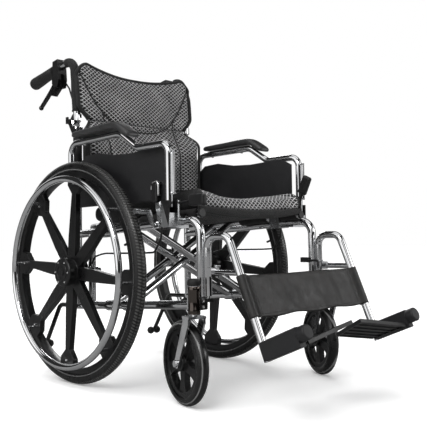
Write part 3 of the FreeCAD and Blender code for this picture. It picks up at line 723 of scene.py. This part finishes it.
def seat_apron():
    """Black front border under the mesh, rolled under to the sling's edge."""
    place, half_x, half_y, half_z = seat_frame()

    def border(x):
        """Heights of the border's upper and lower edge."""
        return -half_z * 0.74 - seat_sag(x, half_x, 9 * MM), -half_z - 9 * MM - seat_sag(x, half_x, 17 * MM)

    rows = []
    for j in range(81):
        x = half_x * 0.985 * (-1 + 2 * j / 80)
        high, low = border(x)
        middle, tall = (high + low) / 2, (high - low) / 2
        deep = 7 * MM * math.sqrt(max(0.02, 1 - (abs(x) / half_x) ** 10))
        row = []
        for k in range(24):
            a = 2 * math.pi * k / 24
            c, t = math.cos(a), math.sin(a)
            wrinkle = rough_cloth((x, t * 0.03, 2), 26.0, 1.6 * MM)
            y = -half_y + 10 * MM - deep * math.copysign(abs(c) ** 0.7, c) - wrinkle
            row.append(place @ Vector((x, y, middle + tall * math.copysign(abs(t) ** 0.8, t))))
        rows.append(row)
    apron = from_grid("seat_apron", rows, CLOTH, close_rows=True, close_ends=True)
    on_fold(apron, "seat")
    find = sheet_over(apron)
    ahead = place.to_3x3() @ Vector((0, 1, 0))
    for number, lift in ((1, 0.2), (2, 0.85)):
        line = []
        for k in range(70):
            x = half_x * 0.95 * (-1 + 2 * k / 69)
            high, low = border(x)
            hit = find(place @ Vector((x, -0.4, high + (low - high) * lift)), ahead, 0.3 * MM)
            if hit is not None:
                line.append(hit)
        thread = stitches("apron_stitch_%d" % number, line)
        on_fold(thread, "seat")


def seat_sling():
    """Sagging cloth between the seat tubes, and its sleeves around them."""
    place, _, half_y, half_z = seat_frame()
    tube_x = abs(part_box("brace_a")[1].x) - CANE_R
    low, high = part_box("seat_sling")
    half_w = (high.x - low.x) / 2
    rows = []
    for i in range(61):
        y = -half_y + 12 * MM + (2 * half_y - 20 * MM) * i / 60
        row = []
        for j in range(49):
            x = (half_w + 4 * MM) * (-1 + 2 * j / 48)
            z = -half_z - 2.4 * MM - seat_sag(x, half_w, 20 * MM)
            row.append(place @ Vector((x, y, z + rough_cloth((x, y, 0), 9.0, 1.0 * MM))))
        rows.append(row)
    sling = from_grid("seat_sling_cloth", rows, CLOTH)
    thicken(sling, 1.4 * MM)
    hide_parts("seat_sling")
    on_fold(sling, "seat")
    # sleeves with the tubes, between the saddles
    turn = (Matrix.Translation((0, AXLE_Y, 208.5 * MM)) @ Matrix.Rotation(-TILT, 4, "X")
            @ Matrix.Translation((0, 0, -208.5 * MM)))
    for body, sign in (("brace_b", -1), ("brace_a", 1)):
        for number, (y0, y1) in enumerate(((-430, -366), (-320, -214), (-80, -54))):
            rows = []
            for i in range(9):
                y = (y0 + (y1 - y0) * i / 8) * MM
                row = []
                for k in range(25):
                    a = 2 * math.pi * k / 25
                    r = CANE_R + 1.6 * MM + rough_cloth((a, y * 9, sign), 2.0, 0.5 * MM)
                    at = Vector((sign * tube_x + r * math.cos(a), y, 428.5 * MM + r * math.sin(a)))
                    row.append(turn @ at)
                rows.append(row)
            sleeve = from_grid("seat_sleeve_%s_%d" % (body, number + 1), rows, CLOTH, close_rows=True)
            thicken(sleeve, 1.0 * MM)
            fit(sleeve, body)
        plug = bolt("seat_plug_" + body, turn @ Vector((sign * tube_x, -441 * MM, 428.5 * MM)),
                    turn.to_3x3() @ Vector((0, -1, 0)), 11.3 * MM, 5 * MM, BLACK, hollow=False)
        fit(plug, body)


def cane_at(z):
    """Y of the cane's centre at a height."""
    if z < 0.741:
        return AXLE_Y + 69 * MM
    return AXLE_Y + (70.5 + (z / MM - 741) * 13.5 / 186) * MM


BACK_HALF = 0.222               # the upper back's half width, over the canes
LOW_HALF = 0.217                # the lower back's
WAIST_HALF = 0.187              # the back's half width at the fold
CREASE = BACK_PIVOT.z + 5 * MM  # where the back folds
SEAM_HALF = 0.208               # half width, lowest point, rise and steepness of the curved seam
SEAM_LOW = 0.722
SEAM_RISE = 0.154
SEAM_POWER = 2.85
DOWN_SEAM_X = 0.137             # the straight seams below it
POST_X = 0.251                  # plane of the armrest's posts


def ease(t):
    t = max(0.0, min(1.0, t))
    return t * t * (3 - 2 * t)


def back_half(z):
    """Half the back's width at a height: cut in around the fold joint, full above and below."""
    if z > CREASE:
        return WAIST_HALF + (BACK_HALF - WAIST_HALF) * ease((z - CREASE) / 0.048) ** 0.7
    return WAIST_HALF + (LOW_HALF - WAIST_HALF) * ease((CREASE - z) / 0.040)


def top_edge(x):
    """Height of the back's top edge: dipped in the middle, rounded off at its corners."""
    a = abs(x)
    rise = 0.888 + 0.025 * min(1.0, a / 0.182) ** 2.2
    return rise - 0.030 * max(0.0, (a - 0.182) / (BACK_HALF - 0.182)) ** 2


def head_seam(x):
    """Height of the curved seam that bounds the back's middle panel."""
    return SEAM_LOW + SEAM_RISE * (abs(x) / SEAM_HALF) ** SEAM_POWER


def near_seam(x, z):
    """Distance from the back's seams: the curved one, and two that run down below it."""
    steep = SEAM_POWER * SEAM_RISE / SEAM_HALF * (abs(x) / SEAM_HALF) ** (SEAM_POWER - 1)
    curved = abs(z - head_seam(x)) / math.sqrt(1 + steep ** 2)
    if z > head_seam(x):
        return curved
    return min(curved, abs(abs(x) - DOWN_SEAM_X))


def back_face(x, z):
    """Y of the back's front face: a hollow sheet above the fold, a pad standing forward below it."""
    half = back_half(z)
    t = (z - CREASE) / (0.9 - CREASE)
    upper = (44 + 12 * max(0.0, t)) * MM + 11 * MM * (1 - (x / half) ** 2) * ease(t * 1.5)
    inward = 1 - (x / half) ** 2
    pad = (46 - 20 * inward) * MM * ease((CREASE - z) / (0.046 + 0.075 * inward))
    curl = 12 * MM * max(0.0, abs(x) / half - 0.93) / 0.07
    groove = 4.5 * MM * math.exp(-(near_seam(x, z) / (5.5 * MM)) ** 2)
    return AXLE_Y + upper - pad + curl + groove + rough_cloth((x, 0, z), 11.0, 1.8 * MM)


def padded_back(name, floor_of, ceiling_of, rear_of, rows_n, body, open_end):
    """A padded panel between the canes from its front face to rear_of(x, z), unrounded at the fold."""
    count = 72
    front, rear = [], []
    for i in range(rows_n + 1):
        line_f, line_r = [], []
        for j in range(count + 1):
            u = -1 + 2 * j / count
            share = math.copysign(1 - (1 - abs(u)) ** 1.35, u)
            t = i / rows_n
            x = BACK_HALF * share
            z = floor_of(x) + (ceiling_of(x) - floor_of(x)) * t
            half = back_half(z)
            x = half * share
            to_end = (1 - t if open_end == "low" else t) * rows_n / 2.2
            edge = min(1.0, (1 - abs(share)) * half / (14 * MM)) ** 0.5 * min(1.0, to_end) ** 0.5
            y = back_face(x, z)
            depth = rear_of(x, z) - y
            line_f.append(Vector((x, y + depth / 2 * (1 - edge), z)))
            rear_x = max(-0.211, min(0.211, x)) if z < CREASE else x
            line_r.append(Vector((rear_x, y + depth / 2 * (1 + edge) + 0.8 * MM, z)))
        front.append(line_f)
        rear.append(line_r)
    bm = bmesh.new()
    f = [[bm.verts.new(p) for p in row] for row in front]
    r = [[bm.verts.new(p) for p in row] for row in rear]
    for i in range(rows_n):
        for j in range(count):
            bm.faces.new((f[i][j], f[i][j + 1], f[i + 1][j + 1], f[i + 1][j]))
            bm.faces.new((r[i][j], r[i + 1][j], r[i + 1][j + 1], r[i][j + 1]))
        for j in (0, count):
            bm.faces.new((f[i][j], f[i + 1][j], r[i + 1][j], r[i][j]))
    for j in range(count):
        for i in (0, rows_n):
            bm.faces.new((f[i][j], f[i][j + 1], r[i][j + 1], r[i][j]))
    bmesh.ops.recalc_face_normals(bm, faces=bm.faces)
    piece = new_piece(name, bm, MESH)

    def sewn(co):
        x, _, z = co
        near_end = abs(x) > back_half(z) - 8 * MM or near_seam(x, z) < 3 * MM
        return near_end or z > top_edge(x) - 6 * MM or abs(z - CREASE) < 5 * MM or z < 0.52

    puffed(piece, 2.2, 6 * MM, sewn)
    subdivided(piece)
    flat_coordinates(piece, pick=1)
    piece.data.materials.append(CLOTH)
    for face in piece.data.polygons:
        far_back = face.normal.y > 0.3 or abs(face.normal.x) > 0.86
        face.material_index = int(far_back or face.center.z < 0.548)
    on_fold(piece, body)
    return piece


def cane_line(start, share):
    """Points up the cane from a height, and a share of the way around its bend."""
    points = [Vector((0, cane_at(start + (0.885 - start) * k / 14), start + (0.885 - start) * k / 14))
              for k in range(15)]
    hub = Vector((0, AXLE_Y + 116.07 * MM, 885.4 * MM))
    for k in range(1, 15):
        a = math.radians(175.9 - (175.9 - 79.4) * share * k / 14)
        points.append(hub + Vector((0, math.cos(a), math.sin(a))) * 35 * MM)
    return points


def backrest():
    def upper_rear(x, z):
        return max(back_face(x, z) + 13 * MM, AXLE_Y + 56 * MM)

    upper = padded_back("back_upper", lambda x: CREASE, top_edge, upper_rear, 36, "right_back", "low")
    lower = padded_back("back_lower", lambda x: 0.512, lambda x: CREASE - 0.4 * MM,
                        lambda x, z: AXLE_Y + 57 * MM, 52, "right_side", "high")
    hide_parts("backrest")
    find_upper, find_lower = sheet_over(upper), sheet_over(lower)

    def on_face(x, z, lift=0.5 * MM):
        find = find_upper if z > CREASE + 1 * MM else find_lower
        return find((x, AXLE_Y - 0.3, z), (0, 1, 0), lift)

    # seams: piping with a row of stitches beside it
    runs = []
    for sign in (-1, 1):
        curve = [(sign * 0.212 * k / 90, head_seam(0.212 * k / 90)) for k in range(91)]
        high = [(x, z) for x, z in curve
                if CREASE + 2 * MM < z < top_edge(x) - 8 * MM and abs(x) < back_half(z) - 5 * MM]
        runs.append(("right_back", high, (0, 7 * MM)))
        runs.append(("right_side", [p for p in curve if p[1] <= CREASE - 2 * MM], (0, 7 * MM)))
        start = head_seam(DOWN_SEAM_X)
        down = [(sign * DOWN_SEAM_X, start - 3 * MM - (start - 0.545) * k / 50) for k in range(51)]
        runs.append(("right_back", [p for p in down if p[1] > CREASE + 2 * MM], (sign * 7 * MM, 0)))
        runs.append(("right_side", [p for p in down if p[1] <= CREASE - 2 * MM], (sign * 7 * MM, 0)))
    for number, (body, spots, step) in enumerate(runs):
        line = [p for p in (on_face(x, z) for x, z in spots) if p is not None]
        if len(line) < 3:
            continue
        pipe = cord_mesh("back_seam_%d" % (number + 1), line, 1.9 * MM, CLOTH, 8)
        sewing = [on_face(x + step[0], z + step[1], 0.3 * MM) for x, z in spots
                  if z + step[1] < top_edge(x) - 8 * MM]
        thread = stitches("back_stitch_%d" % (number + 1), [p for p in sewing if p is not None])
        for piece in (pipe, thread):
            on_fold(piece, body)

    def on_side(sign, z, inset):
        """A point on the back's side edge."""
        half = back_half(z)
        return Vector((sign * (half - 1 * MM), back_face(sign * half * 0.93, z) + inset, z))

    # binding over the top edge and down both sides of the upper half
    edge = []
    for k in range(121):
        x = BACK_HALF * 0.99 * (-1 + 2 * k / 120)
        edge.append(Vector((x, back_face(x * 0.93, 0.885) + 7 * MM, top_edge(x) - 2 * MM)))
    for sign in (-1, 1):
        side = [on_side(sign, 0.876 - (0.876 - CREASE - 0.004) * k / 40, 7 * MM) for k in range(41)]
        edge = side[::-1] + edge if sign < 0 else edge + side
    binding = cord_mesh("back_binding", edge, 6.0 * MM, CLOTH, 14)
    on_fold(binding, "right_back")
    for number, sign in ((1, -1), (2, 1)):
        start = CREASE - 0.006
        line = [on_side(sign, start - (start - 0.53) * k / 60, 8 * MM) for k in range(61)]
        cord = cord_mesh("back_side_binding_%d" % number, line, 4.0 * MM, CLOTH, 12)
        on_fold(cord, "right_side")

    # sleeves around the canes: over the bend above the fold joint, and below it
    for side, sign in SIDES.items():
        low_part = [Vector((0, cane_at(z), z)) for z in (0.515 + 0.182 * k / 24 for k in range(25))]
        for part, body, line in (("upper", side + "_back", cane_line(0.768, 0.97)),
                                 ("lower", side + "_side", low_part)):
            rows = []
            for i, p in enumerate(line):
                ahead = (line[min(i + 1, len(line) - 1)] - line[max(i - 1, 0)]).normalized()
                out = Vector((0, ahead.z, -ahead.y))
                row = []
                for k in range(28):
                    a = 2 * math.pi * k / 28
                    r = CANE_R + 2.0 * MM + rough_cloth((a, i * 0.11, sign), 3.0, 0.6 * MM)
                    row.append(p + Vector((sign * CANE_X + r * math.cos(a), 0, 0)) + out * r * math.sin(a))
                rows.append(row)
            sleeve = from_grid("back_sleeve_%s_%s" % (side, part), rows, CLOTH, close_rows=True)
            thicken(sleeve, 1.2 * MM)
            fit(sleeve, body)
            hem_at = line[0] + Vector((sign * CANE_X, 0, 1.5 * MM))
            hem = ring("back_hem_%s_%s" % (side, part), hem_at, (0, 0, 1), CANE_R + 2.2 * MM, 1.5 * MM, CLOTH)
            fit(hem, body)

    # spare cloth that the upper half rolls over as it folds back
    rows = []
    for i in range(13):
        a = math.pi - math.radians(100) * i / 12
        r = 30 * MM
        rows.append([Vector((x, BACK_PIVOT.y + r * math.cos(a) + rough_cloth((x, a, 3), 8.0, 1.0 * MM),
                             BACK_PIVOT.z + r * math.sin(a)))
                     for x in (0.184 * (-1 + 2 * j / 40) for j in range(41))])
    roll = from_grid("back_roll", rows, CLOTH)
    thicken(roll, 1.4 * MM)
    on_fold(roll, "right_side")


def calf_strap():
    """A doubled band sewn into loops around both hangers' legs."""
    low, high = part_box("calf_strap")
    centre_y, centre_z = (low.y + high.y) / 2, (low.z + high.z) / 2
    tall = high.z - low.z
    leg_r = 9.5 * MM
    down = Vector((0, -math.sin(LEG_SLOPE), -math.cos(LEG_SLOPE)))
    out = Vector((0, -math.cos(LEG_SLOPE), math.sin(LEG_SLOPE)))
    loop_r = leg_r + 2.2 * MM
    sewn_x = CANE_X - 24 * MM
    stretch = tall / math.cos(LEG_SLOPE)

    def gap(x):
        """Half the space between the band's two layers."""
        return 1.6 * MM + (loop_r - 1.6 * MM) * ease((abs(x) - sewn_x) / (CANE_X - sewn_x))

    across = [CANE_X * (-1 + 2 * j / 90) for j in range(91)]
    turns = [math.pi * k / 12 for k in range(1, 12)]
    loop = [(x, gap(x)) for x in across]
    loop += [(CANE_X + loop_r * math.sin(a), loop_r * math.cos(a)) for a in turns]
    loop += [(x, -gap(x)) for x in across[::-1]]
    loop += [(-CANE_X - loop_r * math.sin(a), -loop_r * math.cos(a)) for a in turns]
    rows = []
    steps = 26
    for i in range(steps + 1):
        t = i / steps - 0.5
        row = []
        for x, n in loop:
            slack = 1 - min(1.0, abs(x) / CANE_X) ** 4
            wave = rough_cloth((x, t * tall, 0), 11.0, 4.0 * MM)
            wave += rough_cloth((x, t * tall, 5), 34.0, 2.0 * MM)
            hem = 2.5 * MM * math.sin(x * 41 + 1.0) * slack * max(0.0, t) * 2
            p = Vector((x, centre_y, centre_z)) + down * (stretch * t + hem) + out * (n + slack * wave)
            row.append(p)
        rows.append(row)
    band = from_grid("calf_band", rows, SKIN, close_rows=True)
    thicken(band, 1.6 * MM)
    made_final(band)
    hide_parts("calf_strap")
    on_fold(band, "right_hanger")

    find = sheet_over(band)

    def on_band(x, t, lift=0.4 * MM):
        start = Vector((x, centre_y, centre_z)) + down * (stretch * t) + out * 0.06
        return find(start, -out, lift)

    lines = [[(x, t / 12 - 0.47) for t in range(12)] for x in
             (-sewn_x, -sewn_x + 5 * MM, sewn_x, sewn_x - 5 * MM)]
    lines += [[(x * MM, t) for x in range(-186, 190, 6)] for t in (-0.45, 0.43)]
    for number, line in enumerate(lines):
        points = [on_band(x, t) for x, t in line]
        points = [p for p in points if p is not None]
        thread = stitches("calf_stitch_%d" % (number + 1), points, 0.0042, 0.00045)
        on_fold(thread, "right_hanger")


def smooth_line(points, rounds=3):
    """Cut the corners off a line of points, keeping its ends."""
    for _ in range(rounds):
        cut = [points[0]]
        for a, b in zip(points, points[1:]):
            cut += [a.lerp(b, 0.25), a.lerp(b, 0.75)]
        points = cut + [points[-1]]
    return points


def even(points, count):
    """The same line in equal steps."""
    far = [0.0]
    for a, b in zip(points, points[1:]):
        far.append(far[-1] + (b - a).length)
    made, i = [], 0
    for k in range(count + 1):
        want = far[-1] * k / count
        while i < len(points) - 2 and far[i + 1] < want:
            i += 1
        span = far[i + 1] - far[i]
        made.append(points[i].lerp(points[i + 1], 0 if span < 1e-12 else (want - far[i]) / span))
    return made


def arm_pads():
    """Moulded foam pads: crowned on top, flat under, with rounded ends."""
    top = [(14, 695), (-80, 698.5), (-176, 702), (-196, 698), (-250, 663)]
    low = [(14, 678), (-80, 679.5), (-184, 682), (-196, 679), (-240, 651)]
    for side, sign in SIDES.items():
        box_low, box_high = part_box(side + "_arm_pad")
        centre_x, half_w = (box_low.x + box_high.x) / 2, (box_high.x - box_low.x) / 2
        upper = even(smooth_line([Vector((0, AXLE_Y + y * MM, z * MM)) for y, z in top]), 60)
        under = even(smooth_line([Vector((0, AXLE_Y + y * MM, z * MM)) for y, z in low]), 60)
        rows = []
        for i, (a, b) in enumerate(zip(upper, under)):
            t = i / 60
            to_end = min(t, 1 - t) * 60 / 4.0
            round_off = math.sqrt(1 - (1 - min(1.0, to_end)) ** 2) * 0.94 + 0.06
            half_h = (a - b).length / 2
            axis = (a - b).normalized()
            middle = (a + b) / 2
            row = []
            for k in range(40):
                g = 2 * math.pi * k / 40
                c, s = math.cos(g), math.sin(g)
                px = math.copysign(abs(c) ** 0.5, c) * half_w * (0.35 + 0.65 * round_off)
                up = s if s > 0 else -abs(s) ** 0.35
                pz = math.copysign(abs(up) ** (0.75 if s > 0 else 1.0), up) * half_h * round_off
                row.append(middle + Vector((centre_x + px - middle.x, 0, 0)) + axis * pz)
            rows.append(row)
        pad = from_grid(side + "_pad", rows, PAD, close_rows=True, close_ends=True)
        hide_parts(side + "_arm_pad")
        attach(pad, side + "_armrest")
        # screws up into the pad from the tube
        for number, y in ((1, -20), (2, -150)):
            screw = bolt("%s_pad_screw_%d" % (side, number),
                         (sign * POST_X, AXLE_Y + y * MM, (657.0 - 4 * y / 241) * MM),
                         (0, 0, -1), 4 * MM, 3 * MM)
            fit(screw, side + "_armrest")


# ---------------------------------------------------------------- small hard parts
def trims():
    for side, sign in SIDES.items():
        out = Vector((sign, 0, 0))
        cap_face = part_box(side + "_hub_cap")[1].x if sign > 0 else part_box(side + "_hub_cap")[0].x
        centre = Vector((cap_face, WHEEL_C.y, WHEEL_C.z))
        # hub cap: a raised ring, a middle button and six screws
        rim = ring(side + "_cap_ring", centre - out * 0.4 * MM, out, 22 * MM, 1.6 * MM, MAG)
        button = bolt(side + "_cap_button", centre + out * 0.5 * MM, out, 10 * MM, 3 * MM, BLACK,
                      hollow=False)
        for piece in (rim, button):
            fit(piece, side + "_rear_wheel")
        for k in range(6):
            a = math.pi * k / 3
            at = centre + Vector((0, math.cos(a), math.sin(a))) * 30 * MM + out * 0.2 * MM
            screw = bolt("%s_cap_screw_%d" % (side, k + 1), at, out, 2.8 * MM, 2 * MM)
            fit(screw, side + "_rear_wheel")
        # valve stem between two spokes
        a = math.radians(17.8)
        inward = Vector((0, math.cos(a), -math.sin(a)))
        at = Vector((sign * abs(WHEEL_C.x), WHEEL_C.y, WHEEL_C.z)) - inward * 252 * MM
        valve = bolt(side + "_valve", at, inward, 3.4 * MM, 24 * MM, BLACK, 20, hollow=False)
        fit(valve, side + "_rear_wheel")
        # handrim screws on the spokes' pads
        for k in range(8):
            a = math.radians(-4.7 + 45 * k)
            at = Vector((sign * 0.289, WHEEL_C.y - 0.2435 * math.cos(a), WHEEL_C.z + 0.2435 * math.sin(a)))
            screw = bolt("%s_tab_screw_%d" % (side, k + 1), at, out, 3.6 * MM, 3 * MM)
            fit(screw, side + "_rear_wheel")
        # caster head: rubber boot over the stem's top, dark sleeve on the housing, bracket on the gusset
        head = Vector((sign * 0.255, AXLE_Y - 462 * MM, 0))
        boot_rows = [circle(head + Z * z * MM, X, Y, r * MM, 32) for z, r in
                     ((283.8, 14.6), (286, 15.4), (294, 15.6), (298, 14.2), (300, 9.0), (300.6, 1.0))]
        boot = from_grid(side + "_stem_boot", boot_rows, RUBBER, close_rows=True, close_ends=True)
        fit(boot, side + "_fork")
        sleeve_rows = [circle(head + Z * z * MM, X, Y, r * MM, 40) for z, r in
                       ((218, 14.1), (219, 14.8), (230, 14.8), (231, 14.3), (268, 14.3), (269, 14.9),
                        (281, 14.9), (282, 14.1))]
        sleeve = from_grid(side + "_housing_sleeve", sleeve_rows, DARK_CHROME, close_rows=True)
        fit(sleeve, side + "_side")
        bracket = slab(side + "_bracket", Vector((14 * MM, 16.5 * MM, 14.5 * MM)), BLACK, 4 * MM, 3 * MM)
        bracket.data.transform(Matrix.Translation(head + Vector((-sign * 24.5 * MM, 9 * MM, 240.3 * MM))))
        fit(bracket, side + "_side")
        for number, z in ((1, 233.5), (2, 247.5)):
            at = head + Vector((-sign * 20 * MM, -8.4 * MM, z * MM))
            screw = bolt("%s_bracket_bolt_%d" % (side, number), at, (0, -1, 0), 4.2 * MM, 3.4 * MM)
            fit(screw, side + "_side")
        # plug in the armrest post's open end, knob of the back's release, and buffers on the tip lever
        plug = bolt(side + "_post_plug", Vector((sign * POST_X, AXLE_Y - 375 * MM, 471 * MM)), (0, 0, -1),
                    9.4 * MM, 5 * MM, BLACK, hollow=False)
        fit(plug, side + "_armrest")
        # soft skin of the push handle, thicker towards its free end
        centre, reach = mid(side + "_push_grip"), size(side + "_push_grip").y / 2
        along = Vector((0, 1, -0.1875)).normalized()
        up = X.cross(along)
        rows = []
        for share, radius in ((-0.88, 16.15), (-0.5, 16.3), (-0.1, 16.9), (0.3, 17.9), (0.7, 18.8),
                              (0.88, 18.6), (0.95, 17.2), (0.995, 13.5)):
            at = centre + along * share * reach
            rows.append(circle(at, X, up, radius * MM, 40))
        skin = from_grid(side + "_grip_skin", rows, GRIP, close_rows=True, close_ends=True)
        fit(skin, side + "_back")
        # bent wire over the parking brake's grip
        line = [Vector((sign * 246 * MM, AXLE_Y + y * MM, z * MM)) for y, z in
                ((-329, 500), (-329, 525), (-325, 535), (-310, 536), (-304, 528), (-303, 514))]
        wire = cord_mesh(side + "_brake_wire", even(smooth_line(line), 24), 3.2 * MM, STEEL, 14)
        fit(wire, side + "_brake_lever")
        knob = bolt(side + "_back_knob", Vector((sign * 231.8 * MM, BACK_PIVOT.y, BACK_PIVOT.z)), out,
                    8.6 * MM, 3.2 * MM, BLACK, hollow=False)
        fit(knob, side + "_back_latch")
        for number, dx in ((1, -1), (2, 1)):
            centre = Vector((sign * CANE_X + dx * 13.5 * MM, AXLE_Y + 247 * MM, 76 * MM))
            bm = bmesh.new()
            bmesh.ops.create_uvsphere(bm, u_segments=32, v_segments=20, radius=12.4 * MM,
                                      matrix=Matrix.Translation(centre))
            ball = new_piece("%s_buffer_%d" % (side, number), bm, RUBBER)
            fit(ball, side + "_side")


# ---------------------------------------------------------------- the scene
look_through()
studio()
dress_frame()
seat_cushion()
seat_apron()
seat_sling()
backrest()
calf_strap()
arm_pads()
trims()

bpy.ops.mesh.primitive_plane_add(size=40, location=(0, 0, 0))
floor = bpy.context.object
floor.name = "floor"
floor_look = Look("floor_paper")
paper = floor_look.blend(floor_look.noise(3.0), (0.89, 0.89, 0.89), (0.92, 0.92, 0.92))
# painted reflection: the floor shows dark grey to mirror rays, so the chrome reflects it darker; seen
# directly it glows faintly
ray = floor_look.node("ShaderNodeLightPath")
in_mirror = ray.outputs["Is Glossy Ray"]
floor_look.shader.inputs["Emission Color"].default_value = (1, 1, 1, 1)
floor_look.put(floor_look.math("MULTIPLY", ray.outputs["Is Camera Ray"], 0.16),
               floor_look.shader.inputs["Emission Strength"])
floor.data.materials.append(floor_look.finish(floor_look.blend(in_mirror, paper, (0.22, 0.22, 0.22)), 0.9))
